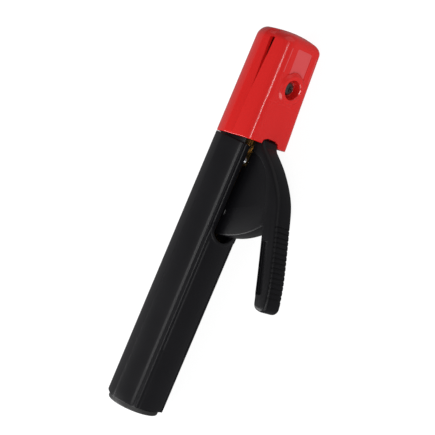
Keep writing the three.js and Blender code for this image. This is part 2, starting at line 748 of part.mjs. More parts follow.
function leverWeb() {
  const onWeb = (angle) => [pivotX - webRadius * Math.cos(angle), pivotReach + webRadius * Math.sin(angle)];
  const lowAngle = Math.asin((webUnderReach - pivotReach) / webRadius);
  const arc = Array.from({ length: 9 }, (_, k) => onWeb(lerp(lowAngle, radians(webAngleHigh), k / 8)));
  const clearOfLug = pivotX - lugLength - fitGap;
  return sidePlate([
    ...arc, ...behindPivot([[25, 47], [7, 31], [1, 20], [1, neckUnderReach]]),
    [clearOfLug, neckUnderReach], [clearOfLug, webUnderReach],
  ], -webHalfThickness, webHalfThickness);
}

// Cuts along the finger's straight part: side pockets near the inner edge and ridges over the outer edge.
function fingerCuts() {
  const root = new THREE.Vector2(...fingerInner[2]);
  const along = new THREE.Vector2(...fingerInner[0]).sub(root).normalize();
  const across = new THREE.Vector2(along.y, -along.x);
  const spot = (s, t) => root.clone().addScaledVector(along, s).addScaledVector(across, t).toArray();
  const pocketTop = pocketOffset + pocketHeight;
  const pocketOutline = [
    spot(pocketStart, pocketOffset), spot(pocketStart + pocketLength, pocketOffset),
    spot(pocketStart + pocketLength, pocketTop), spot(pocketStart, pocketTop),
  ];
  const floor = leverHalfWidth - pocketDepth;
  const pockets = [
    sidePlate(pocketOutline, floor, leverHalfWidth * 2),
    sidePlate(pocketOutline, -leverHalfWidth * 2, -floor),
  ];
  const outer = new THREE.SplineCurve(fingerOuter.map(([x, reach]) => new THREE.Vector2(x, reach)));
  const start = outer.getSpacedPoints(200).findIndex((p) => p.x < pivotX - ridgeStart) / 200;
  const ridges = Array.from({ length: ridgeCount }, (_, k) => {
    const along = Math.min(start + (k * ridgePitch) / outer.getLength(), 1);
    const point = outer.getPointAt(along);
    const tangent = outer.getTangentAt(along);
    const cut = new THREE.BoxGeometry(ridgeGap, 2 * ridgeDepth, 2 * ridgeHalfWidth);
    return solidOf(cut.rotateZ(Math.atan2(-tangent.y, tangent.x)).translate(point.x, -point.y, 0));
  });
  return [...pockets, ...ridges];
}

function leverGrip() {
  const seatTop = springSeatReach + springSeatHeight;
  const seat = rod(springSeatRadius, springSeatReach, seatTop, toLever, atX(springX));
  const pocket = sidePlate(coreOutline(fitGap), -coreHalfThickness - fitGap, coreHalfThickness + fitGap);
  const grip = leverBand().add(leverWeb()).add(seat).subtract(pocket);
  return fingerCuts().reduce((body, cut) => body.subtract(cut), grip);
}

// ---- Lever spring ----

class Coil extends THREE.Curve {
  getPoint(t, target = new THREE.Vector3()) {
    const angle = t * springCoils * 2 * Math.PI;
    const low = floorInnerReach + fitGap + springWire;
    const high = springSeatReach - fitGap - springWire;
    return target.set(
      springX + springRadius * Math.cos(angle), -lerp(low, high, t), springRadius * Math.sin(angle),
    );
  }
}

function leverSpring() {
  const wire = Array.from({ length: 6 }, (_, k) => {
    const angle = (Math.PI * k) / 3;
    return new THREE.Vector2(springWire * Math.cos(angle), springWire * Math.sin(angle));
  });
  const options = { steps: springCoils * 14, bevelEnabled: false, extrudePath: new Coil() };
  return solidOf(new THREE.ExtrudeGeometry(new THREE.Shape(wire), options));
}

function springPeg() {
  const foot = -troughFloorReach - 1;
  const profile = [
    [0, -foot], [pegRadius - 1 - fitGap, -foot], [pegRadius - 1 - fitGap, floorInnerReach + fitGap],
    [pegRadius, floorInnerReach + fitGap], [pegRadius, floorInnerReach + pegHeight - 0.6],
    [pegRadius - 0.8, floorInnerReach + pegHeight], [0, floorInnerReach + pegHeight],
  ];
  return turned(profile, toLever, atX(springX));
}

// ---- Cable clamp ----

// The sleeve lies on the side of the bore that is away from the screws.
const ferruleDrop = socketBore - fitGap - ferruleRadius;
const plateLow = ferruleRadius - ferruleDrop + fitGap;

function cableFerrule() {
  const centre = new THREE.Vector3(0, 0, -ferruleDrop);
  const start = socketStart + 1;
  return tube(ferruleRadius - ferruleWall, ferruleRadius, start, start + ferruleLength, alongX, centre);
}

function pressurePlate() {
  const overhang = 6;
  const low = clampScrewXs[0] - overhang;
  const high = clampScrewXs.at(-1) + overhang;
  return block(low, high, -plateHalfWidth, plateHalfWidth, plateLow, plateLow + plateThickness);
}

function clampScrew(x) {
  const tip = plateLow + plateThickness + fitGap;
  const keyDepth = 3;
  const key = solidOf(new THREE.CylinderGeometry(clampSocketRadius, clampSocketRadius, 2 * keyDepth, 6)
    .rotateX(Math.PI / 2).translate(x, 0, clampScrewTop));
  const profile = [
    [0, tip], [clampScrewRadius - 0.5, tip], [clampScrewRadius, tip + 0.5], [clampScrewRadius, clampScrewTop],
    [0, clampScrewTop],
  ];
  return turned(profile, alongZ, atX(x)).subtract(key);
}

// ---- Materials ----

const finish = (color, roughness, metalness) => {
  return new THREE.MeshStandardMaterial({ color, roughness, metalness });
};
const blackPlastic = finish(0x26262a, 0.42, 0);
const redPlastic = finish(0xc4241f, 0.3, 0);
const rubber = finish(0x1f1f21, 0.7, 0);
const brass = finish(0xb08a45, 0.35, 1);
const copper = finish(0xb0714a, 0.35, 1);
const zincSteel = finish(0xb9bcc0, 0.35, 1);
const springSteel = finish(0xcfd1d4, 0.25, 1);

// ---- Assembly ----

const handle = new THREE.Group();
handle.add(
  meshOf('handle_shell', handleShell(), blackPlastic),
  meshOf('cable_bush', cableBush(), rubber),
  meshOf('handle_lock_screw', handleLockScrew(), zincSteel),
);

const conductor = new THREE.Group();
conductor.add(
  meshOf('contact_body', contactBody(), brass),
  meshOf('fixed_jaw', fixedJaw(), copper),
  meshOf('cable_ferrule', cableFerrule(), copper),
  meshOf('pressure_plate', pressurePlate(), zincSteel),
  ...clampScrewXs.map((x, i) => meshOf(`clamp_screw_${i + 1}`, clampScrew(x), zincSteel)),
);

const pivot = new THREE.Group();
pivot.add(
  meshOf('pivot_pin', pivotPin(), zincSteel),
  meshOf('pin_clip_upper', pinClip(1), springSteel),
  meshOf('pin_clip_lower', pinClip(-1), springSteel),
  meshOf('thrust_washer_upper', thrustWasher(1), zincSteel),
  meshOf('thrust_washer_lower', thrustWasher(-1), zincSteel),
  meshOf('lever_spring', leverSpring(), springSteel),
  meshOf('spring_peg', springPeg(), zincSteel),
);

const fixedHead = new THREE.Group();
fixedHead.add(
  meshOf('fixed_jaw_cap', fixedJawCap(), redPlastic),
  meshOf('fixed_cap_screw', capScrew(alongY, -fixedSeatReach, fixedScrewEnd), zincSteel),
);

const lever = new THREE.Group();
lever.add(
  meshOf('moving_arm', movingArm(), brass),
  meshOf('moving_jaw', movingJaw(), copper),
  meshOf('moving_jaw_cap', movingJawCap(), redPlastic),
  meshOf('moving_cap_screw', capScrew(toLever, movingSeatReach, movingScrewEnd), zincSteel),
  meshOf('pivot_bush', pivotBush(), brass),
  meshOf('lever_grip', leverGrip(), blackPlastic),
  meshOf('lever_core', leverCore(), zincSteel),
  meshOf('core_rivet', coreRivet(), zincSteel),
);

const holder = new THREE.Group();
holder.add(handle, conductor, pivot, fixedHead, lever);
const extent = new THREE.Box3().setFromObject(holder);
const middle = extent.getCenter(new THREE.Vector3());
holder.position.set(-middle.x, -middle.y, -extent.min.z);

export default holder;
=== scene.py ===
import json
import math

import bmesh
import bpy
from mathutils import Matrix, Vector


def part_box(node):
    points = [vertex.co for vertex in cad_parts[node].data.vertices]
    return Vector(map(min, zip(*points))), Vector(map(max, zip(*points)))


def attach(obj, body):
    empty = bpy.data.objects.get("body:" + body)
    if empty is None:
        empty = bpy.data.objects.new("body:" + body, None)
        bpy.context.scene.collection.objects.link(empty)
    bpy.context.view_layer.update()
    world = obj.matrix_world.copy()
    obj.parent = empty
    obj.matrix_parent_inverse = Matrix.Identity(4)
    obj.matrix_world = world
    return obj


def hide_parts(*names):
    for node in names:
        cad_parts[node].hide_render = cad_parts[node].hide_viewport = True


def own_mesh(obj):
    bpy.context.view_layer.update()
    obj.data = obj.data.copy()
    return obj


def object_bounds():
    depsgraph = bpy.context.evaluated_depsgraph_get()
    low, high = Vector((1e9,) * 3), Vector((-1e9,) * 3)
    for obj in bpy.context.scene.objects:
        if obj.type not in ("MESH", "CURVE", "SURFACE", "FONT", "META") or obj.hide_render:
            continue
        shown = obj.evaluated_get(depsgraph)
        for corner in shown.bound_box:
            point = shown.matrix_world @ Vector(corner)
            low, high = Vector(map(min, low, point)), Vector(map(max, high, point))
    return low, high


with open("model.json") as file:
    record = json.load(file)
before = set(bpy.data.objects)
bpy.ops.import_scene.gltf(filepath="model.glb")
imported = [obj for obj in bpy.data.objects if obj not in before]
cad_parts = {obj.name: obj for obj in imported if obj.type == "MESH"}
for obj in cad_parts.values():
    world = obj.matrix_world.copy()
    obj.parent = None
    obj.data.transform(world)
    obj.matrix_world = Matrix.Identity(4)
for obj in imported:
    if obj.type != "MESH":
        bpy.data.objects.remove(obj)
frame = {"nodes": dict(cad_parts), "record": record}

cadLow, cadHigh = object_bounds()
shellLow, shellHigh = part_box("handle_shell")
bushLow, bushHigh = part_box("cable_bush")
mm = 0.001
axisY = (bushLow.y + bushHigh.y) / 2  # the round bush gives the handle's axis
axisZ = (bushLow.z + bushHigh.z) / 2
handleLength = (shellHigh.x - shellLow.x) / mm
tipX = (cadHigh.x - shellLow.x) / mm


def spot(x, reach, height):
    # millimetres from the handle's cable end, from its axis to the lever, and up along the pivot
    return Vector((shellLow.x + x * mm, axisY - reach * mm, axisZ + height * mm))


def middleOf(node):
    # a node's middle in the same millimetres
    low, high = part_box(node)
    centre = (low + high) / 2
    return (centre.x - shellLow.x) / mm, (axisY - centre.y) / mm, (centre.z - axisZ) / mm


pivotX, pivotReach, _ = middleOf("pivot_pin")
screwX = middleOf("moving_cap_screw")[0]
lockX = middleOf("handle_lock_screw")[0]
springX = middleOf("spring_peg")[0]


class Wire:
    def __init__(self, tree, socket):
        self.tree = tree
        self.socket = socket

    def node(self, kind, settings, inputs, output=0):
        made = self.tree.nodes.new("ShaderNode" + kind)
        for name, value in settings.items():
            setattr(made, name, value)
        for key, value in inputs.items():
            if isinstance(value, Wire):
                self.tree.links.new(value.socket, made.inputs[key])
            else:
                made.inputs[key].default_value = value
        return Wire(self.tree, made.outputs[output])

    def pair(self, other, operation, swapped=False):
        both = [other, self] if swapped else [self, other]
        kinds = {w.socket.type for w in both if isinstance(w, Wire)}
        if "RGBA" in kinds:
            colours = [w if isinstance(w, (Wire, tuple)) else (w, w, w, 1) for w in both]
            settings = {"data_type": "RGBA", "blend_type": operation}
            return self.node("Mix", settings, {0: 1.0, 6: colours[0], 7: colours[1]}, 2)
        if "VECTOR" in kinds:
            vectors = [w if isinstance(w, (Wire, tuple)) else (w, w, w) for w in both]
            return self.node("VectorMath", {"operation": operation}, dict(enumerate(vectors)))
        return self.node("Math", {"operation": operation}, dict(enumerate(both)))

    def __add__(self, other):
        return self.pair(other, "ADD")

    def __radd__(self, other):
        return self.pair(other, "ADD", True)

    def __sub__(self, other):
        return self.pair(other, "SUBTRACT")

    def __rsub__(self, other):
        return self.pair(other, "SUBTRACT", True)

    def __mul__(self, other):
        return self.pair(other, "MULTIPLY")

    def __rmul__(self, other):
        return self.pair(other, "MULTIPLY", True)

    def noise(self, perMillimetre, detail=3.0, roughness=0.55):
        inputs = {"Vector": self, "Scale": perMillimetre / mm, "Detail": detail, "Roughness": roughness}
        return self.node("TexNoise", {}, inputs)

    def between(self, low, high):
        # spreads this value's 0 to 1 over low to high
        return self.node("MapRange", {}, {"Value": self, "To Min": low, "To Max": high})

    def past(self, low, high):
        # 0 below low and 1 above high
        return self.node("MapRange", {}, {"Value": self, "From Min": low, "From Max": high})

    def blend(self, first, second):
        return self.node("Mix", {"data_type": "RGBA"}, {0: self, 6: first, 7: second}, 2)


def startFinish(name, fixed):
    # a new material with its constants set, its shader and its object coordinates
    material = bpy.data.materials.new(name)
    material.use_nodes = True
    tree = material.node_tree
    shader = tree.nodes["Principled BSDF"]
    for socket, value in fixed.items():
        shader.inputs[socket].default_value = value
    coords = tree.nodes.new("ShaderNodeTexCoord")
    return material, shader, Wire(tree, coords.outputs["Object"])


def feed(shader, **wires):
    names = {"colour": "Base Color", "roughness": "Roughness", "normal": "Normal", "metallic": "Metallic"}
    for key, wire in wires.items():
        wire.tree.links.new(wire.socket, shader.inputs[names[key]])


def bumpOf(height, strength, distance):
    # distance in millimetres
    return height.node("Bump", {}, {"Height": height, "Strength": strength, "Distance": distance * mm})


blackMoulding = {"deep": (0.0036, 0.0035, 0.0045, 1), "pale": (0.0070, 0.0067, 0.0086, 1), "gloss": 0.36}
leverMoulding = {"deep": (0.0024, 0.0023, 0.0032, 1), "pale": (0.0048, 0.0046, 0.0060, 1), "gloss": 0.34}


def mouldedBlack(name, look):
    material, shader, here = startFinish(name, {"IOR": 1.47, "Specular IOR Level": 0.28})
    cloudy = here.noise(0.035, 4)
    grain = here.noise(2.2, 2)
    scuffs = (here * (0.25, 1.0, 1.0)).noise(0.5, 6, 0.7).past(0.56, 0.74)
    worn = edgeWear(here)
    feed(
        shader,
        colour=(cloudy * 0.75 + scuffs * 0.2 + worn * 0.35).blend(look["deep"], look["pale"]),
        roughness=cloudy.between(look["gloss"] - 0.05, look["gloss"] + 0.07) + grain * 0.05 - worn * 0.08,
        normal=bumpOf(grain + cloudy * 0.4, 0.16, 0.05),
    )
    return material


def edgeWear(here):
    # handled edges and corners, broken up by noise
    edges = here.node("NewGeometry", {}, {}, "Pointiness")
    return edges.past(0.52, 0.60) * here.noise(0.28, 4).between(0.2, 1.0)


redMoulding = {"deep": (0.58, 0.0085, 0.0080, 1), "pale": (0.68, 0.0165, 0.0145, 1), "gloss": 0.17}
# etched red: its duller grain is real, its paler pink tone is a painted reflection of pale surroundings
etchedRedSheen = {"deep": (0.60, 0.040, 0.044, 1), "pale": (0.70, 0.066, 0.070, 1), "gloss": 0.42}


def glossyRed(name, look):
    material, shader, here = startFinish(name, {"IOR": 1.5})
    flow = (here * (0.35, 1.0, 1.0)).noise(0.05, 3)
    peel = here.noise(0.55, 2)
    dust = here.noise(3.4, 3)
    worn = edgeWear(here)
    feed(
        shader,
        colour=(flow * 0.7 + dust * 0.15 + worn * 0.3).blend(look["deep"], look["pale"]),
        roughness=flow.between(look["gloss"] - 0.03, look["gloss"] + 0.05) + dust * 0.04,
        normal=bumpOf(peel + dust * 0.35, 0.05, 0.04),
    )
    return material


def bushRubber(name="bush rubber"):
    material, shader, here = startFinish(name, {"IOR": 1.5})
    bloom = here.noise(0.12, 5)
    grain = here.noise(1.6, 3)
    feed(
        shader,
        colour=bloom.blend((0.0085, 0.0085, 0.0092, 1), (0.0195, 0.0192, 0.0195, 1)),
        roughness=bloom.between(0.46, 0.66),
        normal=bumpOf(grain + bloom, 0.30, 0.06),
    )
    return material


metals = {
    "brass": {"deep": (0.36, 0.22, 0.085, 1), "pale": (0.66, 0.46, 0.19, 1),
        "rough": 0.30, "cast": 0.5},
    "copper_alloy": {"deep": (0.42, 0.19, 0.10, 1), "pale": (0.74, 0.39, 0.23, 1),
        "rough": 0.26, "cast": 0.2},
    "zinc_steel": {"deep": (0.38, 0.39, 0.41, 1), "pale": (0.66, 0.67, 0.69, 1),
        "rough": 0.24, "cast": 0.12},
    "spring_steel": {"deep": (0.52, 0.53, 0.55, 1), "pale": (0.78, 0.79, 0.80, 1),
        "rough": 0.16, "cast": 0.05},
    # dull steel darkened all over: the dark tone is painted shade of the recesses the screws sit in
    "recess_shaded_steel": {"deep": (0.055, 0.052, 0.050, 1), "pale": (0.30, 0.29, 0.28, 1),
        "rough": 0.34, "cast": 0.3},
}


def workedMetal(name):
    look = metals[name]
    material, shader, here = startFinish(name, {"Metallic": 1.0})
    dull = here.noise(0.22, 5, 0.6)
    brushed = (here * (0.12, 1.0, 1.0)).noise(2.6, 3)
    pits = here.noise(1.1, 4)
    feed(
        shader,
        colour=(dull * 0.8 + brushed * 0.2).blend(look["deep"], look["pale"]),
        roughness=dull.between(look["rough"] - 0.06, look["rough"] + 0.16) + brushed * 0.08,
        normal=bumpOf(pits * look["cast"] + brushed * 0.3, 0.35, 0.08),
    )
    return material


finishes = {
    "handle_black": mouldedBlack("handle black", blackMoulding),
    "lever_black": mouldedBlack("lever black", leverMoulding),
    "head_red": glossyRed("head red", redMoulding),
    "bush_rubber": bushRubber(),
    **{name: workedMetal(name) for name in metals},
}
# the etched finish carries a painted reflection in its paler, pinker colour
etchedSheenField = glossyRed("head red etched, painted sheen", etchedRedSheen)
print("finishes made:", len(finishes) + 1)


def newPiece(name, points, faces):
    mesh = bpy.data.meshes.new(name)
    mesh.from_pydata([spot(*p) for p in points], [], faces)
    piece = bpy.data.objects.new(name, mesh)
    bpy.context.collection.objects.link(piece)
    tidyMesh(piece)
    return piece


def tidyMesh(piece, weld=1e-7):
    bm = bmesh.new()
    bm.from_mesh(piece.data)
    bmesh.ops.remove_doubles(bm, verts=bm.verts, dist=weld)
    bmesh.ops.dissolve_degenerate(bm, edges=bm.edges, dist=weld)
    bmesh.ops.recalc_face_normals(bm, faces=bm.faces)
    bm.to_mesh(piece.data)
    bm.free()


def rings(name, loops, looped=False):
    # a skin over closed loops of points; looped joins the last loop to the first, else both ends are filled
    count = len(loops[0])
    points = [p for loop in loops for p in loop]
    faces = []
    for i in range(len(loops) if looped else len(loops) - 1):
        here, there = i * count, (i + 1) % len(loops) * count
        for k in range(count):
            after = (k + 1) % count
            faces.append((here + k, here + after, there + after, there + k))
    if not looped:
        faces.append(tuple(range(count)))
        faces.append(tuple(range(len(points) - count, len(points))))
    return newPiece(name, points, faces)


def turned(name, profile, along, centre, sides=96):
    # a closed (radius, distance) profile turned about a line through centre
    # along is "x", "reach" or "height"
    cx, cr, ch = centre
    loops = []
    for k in range(sides):
        c, s = math.cos(2 * math.pi * k / sides), math.sin(2 * math.pi * k / sides)
        places = {
            "x": lambda r, d: (cx + d, cr + r * c, ch + r * s),
            "reach": lambda r, d: (cx + r * c, cr + d, ch + r * s),
            "height": lambda r, d: (cx + r * c, cr + r * s, ch + d),
        }
        loops.append([places[along](max(r, 0.0005), d) for r, d in profile])
    piece = rings(name, loops, looped=True)
    tidyMesh(piece, weld=2e-6)
    return piece


def signedArea(outline):
    # twice the area, above 0 where the outline runs anticlockwise
    return sum(a[0] * b[1] - b[0] * a[1] for a, b in zip(outline, outline[1:] + outline[:1]))


def plate(name, outline, half, rounding, middle=0.0, steps=4):
    # an outline of (x, reach) points as thick as 2 * half, with its edges rounded by each point's own radius
    count = len(outline)
    area = signedArea(outline)
    inward = []
    for k in range(count):
        before = Vector(outline[k]) - Vector(outline[k - 1])
        after = Vector(outline[(k + 1) % count]) - Vector(outline[k])
        sides = [Vector((-e.y, e.x)).normalized() * math.copysign(1, area) for e in (before, after)]
        total = (sides[0] + sides[1]).normalized()
        inward.append(total / max(total.dot(sides[0]), 0.6))
    radii = rounding if isinstance(rounding, list) else [rounding] * count
    quarter = [math.pi / 2 * i / steps for i in range(steps + 1)]
    loops = []
    for side in (-1, 1):
        for angle in (quarter[::-1] if side < 0 else quarter):
            loop = []
            for (x, reach), turn, r in zip(outline, inward, radii):
                move = turn * r * (1 - math.cos(angle))
                loop.append((x + move.x, reach + move.y, middle + side * (half - r * (1 - math.sin(angle)))))
            loops.append(loop)
    return rings(name, loops)


def carve(piece, tool, operation="DIFFERENCE"):
    work = piece.modifiers.new("carve", "BOOLEAN")
    work.operation = operation
    work.solver = "EXACT"
    work.object = tool
    settle(piece)
    bpy.data.objects.remove(tool)
    return piece


def settle(piece):
    # turns the modified mesh into the piece's own
    bpy.context.view_layer.update()
    graph = bpy.context.evaluated_depsgraph_get()
    mesh = bpy.data.meshes.new_from_object(piece.evaluated_get(graph))
    piece.modifiers.clear()
    piece.data = mesh


def present(piece, body, slot, *nodes, smoothTo=32, finish=None):
    # shades a finished piece, gives it its body and finish and hides the nodes it stands for
    tidyMesh(piece)
    piece.data.shade_smooth()
    piece.data.set_sharp_from_angle(angle=math.radians(smoothTo))
    piece.data.materials.clear()
    piece.data.materials.append(finishes[finish or slot])
    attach(piece, body)
    if nodes:
        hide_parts(*nodes)
    print("made", piece.name, len(piece.data.polygons), "faces")
    return piece


def curveThrough(points, count):
    # a smooth curve through points, evenly spread between them
    spread = []
    for i in range(count + 1):
        t = i / count * (len(points) - 1)
        k = min(int(t), len(points) - 2)
        u = t - k
        p = [Vector(points[min(max(k + j, 0), len(points) - 1)]) for j in (-1, 0, 1, 2)]
        square = (2 * p[0] - 5 * p[1] + 4 * p[2] - p[3]) * u * u
        cube = (3 * p[1] - p[0] - 3 * p[2] + p[3]) * u ** 3
        spread.append(tuple(0.5 * (2 * p[1] + (p[2] - p[0]) * u + square + cube)))
    return spread


def arc(centre, radius, start, end, steps):
    # points on a circle between two angles in degrees
    angles = [math.radians(start + (end - start) * k / steps) for k in range(steps + 1)]
    return [(centre[0] + radius * math.cos(a), centre[1] + radius * math.sin(a)) for a in angles]


def bell(distance, width):
    return math.exp(-(distance / width) ** 2)


def ease(t):
    t = min(max(t, 0.0), 1.0)
    return t * t * (3 - 2 * t)


def mix(a, b, t):
    return a + (b - a) * t


head = {
    "gap": 0.08, "rake": 0.105, "rakeStart": 16.5, "dome": 1.4, "wall": 2.4,
    "split": pivotReach, "splitGap": 0.3, "fixedRound": 7.4, "movingRound": 5.5,
    "wedgeInset": 6.7, "wedgeLength": 35.3, "wedgeRise": 1.55,
    "roundEnd": 70, "rim": 0.45,
}
handle = {
    "radius": 18.5, "wall": 2.4, "edges": (37, 92, 146), "swells": (1.7, 1.1, 0.9, 1.3), "perPanel": 44,
    "softPasses": 9, "capPasses": 3, "rim": 0.4, "slotHalf": 10.0, "slotLength": 61.6,
    "bead": 0.5, "beadWidth": 0.8, "grooveDepth": 0.42, "grooveWidth": 0.55,
    "sideGroove": 2.15, "leverGroove": 1.55, "grooveStop": 38.0,
    "archRise": 0.42, "archWidth": 0.65, "archGap": 1.0,
}


def handleEdges():
    lever, side, rear = handle["edges"]
    return [lever, side, rear, 360 - rear, 360 - side, 360 - lever]


def panelPoint(radius, panel, t):
    # (reach, height) on one of the six swelled panels, counted from the lever's edge over the top
    edges = handleEdges()
    lever, side, rear, back = handle["swells"]
    swell = (side, rear, back, rear, side, lever)[panel]
    ends = [Vector((math.cos(math.radians(a)), math.sin(math.radians(a)))) * radius
            for a in (edges[panel], edges[(panel + 1) % 6])]
    outward = (ends[0] + ends[1]).normalized()
    return ends[0].lerp(ends[1], t) + outward * swell * 4 * t * (1 - t)


def softened(points, passes, closed=True):
    points = [Vector(p) for p in points]
    last = len(points) - 1

    def between(k, p):
        if not closed and k in (0, last):
            return p
        return (points[k - 1] + 2 * p + points[(k + 1) % len(points)]) / 4

    for _ in range(passes):
        points = [between(k, p) for k, p in enumerate(points)]
    return points


def handleSection(radius):
    count = handle["perPanel"]
    return softened([panelPoint(radius, panel, k / count) for panel in range(6) for k in range(count)],
                    handle["softPasses"])


def headRear(reach):
    # how far past the handle's end the head starts, at a given reach
    return head["gap"] + head["rake"] * (reach + head["rakeStart"])


def reliefAt(x, reach, height):
    # beads and grooves on the outside, where height is measured from the middle of the slot
    if reach < 0:
        return 0.0
    across = abs(height)
    edge = handle["radius"] * math.sin(math.radians(handle["edges"][0]))
    toSide = across - edge
    relief = handle["bead"] * bell(toSide, handle["beadWidth"])
    fromSideGroove = toSide - handle["sideGroove"] * 0.75
    relief -= handle["grooveDepth"] * 0.8 * bell(fromSideGroove, handle["grooveWidth"])
    slotEnd = handleLength - handle["slotLength"]
    centreX = slotEnd + handle["slotHalf"]
    below = ease((slotEnd + 3 - x) / 6)
    shallow = mix(0.45, 1.0, ease((x - handle["grooveStop"]) / 1.5))
    fromLeverGroove = toSide + handle["leverGroove"]
    relief -= handle["grooveDepth"] * below * shallow * bell(fromLeverGroove, handle["grooveWidth"])
    if x < centreX:
        fromArch = math.hypot(x - centreX, height) - handle["slotHalf"] - handle["archGap"]
        relief += handle["archRise"] * bell(fromArch, handle["archWidth"])
    return relief


def handleLoops():
    outer = handleSection(handle["radius"])
    inner = handleSection(handle["radius"] - handle["wall"])
    slotEnd = handleLength - handle["slotLength"]
    fine = [slotEnd - 5 + 0.55 * k for k in range(32)]
    coarse = [6 + 6 * k for k in range(int((slotEnd - 12) / 6))]
    stop = [handle["grooveStop"] - 0.6 + 0.5 * k for k in range(5)]
    far = [fine[-1] + 5 * (k + 1) for k in range(int((handleLength - fine[-1] - 4) / 5))]
    rim = handle["rim"]
    stations = sorted(x for x in {*fine, *coarse, *stop, *far} if rim < x < handleLength - rim)

    def ring(x, points, outside, inset=0.0):
        loop = []
        for p in points:
            out = p.normalized()
            size = p.length - inset + (reliefAt(x, *p) if outside else 0.0)
            loop.append((x, *(out * size)))
        return loop

    bends = [math.pi / 2 * k / 4 for k in range(5)]
    loops = [ring(rim - rim * math.sin(a), outer, True, rim - rim * math.cos(a)) for a in bends[::-1]]
    loops += [ring(x, outer, True) for x in stations]
    start = handleLength - rim
    loops += [ring(start + rim * math.sin(a), outer, True, rim - rim * math.cos(a)) for a in bends]
    loops += [ring(x, inner, False) for x in (handleLength, handleLength / 2, 0)]
    return loops


def slotTool():
    half = handle["slotHalf"]
    centreX = handleLength - handle["slotLength"] + half
    pastEnd = handleLength + 5
    outline = arc((centreX, 0), half, 90, 270, 40) + [(pastEnd, -half), (pastEnd, half)]
    return rings("tool", [[(x, reach, height) for x, height in outline] for reach in (0.0, 30.0)])


def lockHoleTool(radius, low, high):
    profile = [(0, -low), (radius, -low), (radius, -high), (0, -high)]
    return turned("tool", profile, "reach", (lockX, 0, 0), 64)


collar = {
    "gap": 0.15, "wall": 1.3, "inside": 4.0, "under": 1.6, "overlap": 0.4, "step": 0.3,
    "slotHalf": 10.5, "slotFrom": 150, "slotTo": 200,
}
lips = {"inner": 7.4, "outer": 12.6, "low": 13.0, "high": 14.2, "start": 1.5, "end": 0.5}


def addLips(piece):
    # ledges just inside the slot's long sides, over the walls of the brass trough
    low, high = handleLength - handle["slotLength"] + lips["start"], handleLength - lips["end"]
    for side in (-1, 1):
        heights = sorted((side * lips["inner"], side * lips["outer"]))
        corners = ((lips["low"], heights[0]), (lips["high"], heights[0]))
        corners += ((lips["high"], heights[1]), (lips["low"], heights[1]))
        ledge = [[(x, reach, h) for reach, h in corners] for x in (low, high)]
        carve(piece, rings("tool", ledge), "UNION")


def addCollar(piece):
    # a thin lip inside the handle's end runs in under the head caps and closes the view into the joint
    inner = handle["radius"] - handle["wall"]
    sizes = [(-collar["inside"], inner + collar["overlap"]), (-collar["step"], inner + collar["overlap"])]
    sizes += [(-collar["step"], inner - collar["gap"]), (None, inner - collar["gap"])]
    sizes += [(None, inner - collar["wall"]), (-collar["inside"], inner - collar["wall"])]
    loops = []
    for x, radius in sizes:
        loop = []
        for p in handleSection(radius):
            past = headRear(p.x) + collar["under"] if x is None else x
            loop.append((handleLength + past, p.x, p.y))
        loops.append(loop)
    lip = rings("tool", loops, looped=True)
    half = collar["slotHalf"]
    start, end = collar["slotFrom"], collar["slotTo"]
    corners = ((start, -half), (end, -half), (end, half), (start, half))
    carve(lip, rings("tool", [[(x, reach, height) for x, height in corners] for reach in (0.0, 30.0)]))
    carve(piece, lip, "UNION")


lock = {
    "hole": 2.6, "holeLow": 10, "holeHigh": 14.5, "headHole": 4.9, "headHoleLow": 13.9, "headHoleHigh": 25,
    "headTop": 16.4, "headRadius": 4.6, "headDeep": 2.6, "shank": 2.3, "shankEnd": 7.3,
}


def makeHandle():
    piece = rings("handleShell", handleLoops(), looped=True)
    carve(piece, slotTool())
    addCollar(piece)
    addLips(piece)
    carve(piece, lockHoleTool(lock["hole"], lock["holeLow"], lock["holeHigh"]))
    carve(piece, lockHoleTool(lock["headHole"], lock["headHoleLow"], lock["headHoleHigh"]))
    return present(piece, "handle", "handle_black", "handle_shell", smoothTo=36)


makeHandle()

bush = {
    "radius": 16.25, "proud": 3.2, "spigot": 14.15, "spigotLength": 13.0,
    "wall": 2.5, "hole": 8.5, "round": 0.9, "clearance": 0.3,
}


def makeBush():
    r, proud, curve = bush["radius"], bush["proud"], bush["round"]
    bead = arc((-proud + curve, r - curve), curve, 180, 90, 6)
    profile = [(bush["hole"] + 0.5, -proud), (r - 3.4, -proud)]
    profile += [(r - 3.1, -proud + 0.35), (r - 2.3, -proud + 0.35), (r - 2.0, -proud)]
    profile += [(y, x) for x, y in bead]
    profile += [(r, -bush["clearance"]), (bush["spigot"], -bush["clearance"])]
    profile += [(bush["spigot"], bush["spigotLength"])]
    profile += [(bush["spigot"] - bush["wall"], bush["spigotLength"]), (bush["spigot"] - bush["wall"], 0)]
    profile += [(bush["hole"], 0), (bush["hole"], -proud + 0.5)]
    piece = turned("cableBush", profile, "x", (0, 0, 0), 160)
    return present(piece, "handle", "bush_rubber", "cable_bush")


makeBush()

moving = {
    "side": 17.9, "reachRear": 22.1, "reachTip": 18.9, "widthRear": 18.2, "widthTip": 15.1,
    "corner": 6.8,
    "sidePoints": 22, "cornerPoints": 16, "facePoints": 44, "stepX": 203.7, "step": 0.32,
}
boss = {"radius": 10.0, "rise": 1.5, "top": 8.3, "recess": 6.0, "screwHole": 2.6, "seat": 15.5}
patch = {"low": 223.4, "high": 238.0, "half": 6.5, "corner": 1.3, "depth": 0.22}


def splitEdge(x, side):
    # reach of a cap's edge; the two edges part towards the nose
    end = tipX - head["wedgeInset"]
    start = end - head["wedgeLength"]
    rise = head["wedgeRise"] * (x - start) / (end - start) if start < x <= end else 0.0
    return head["split"] + side * (head["splitGap"] + rise)


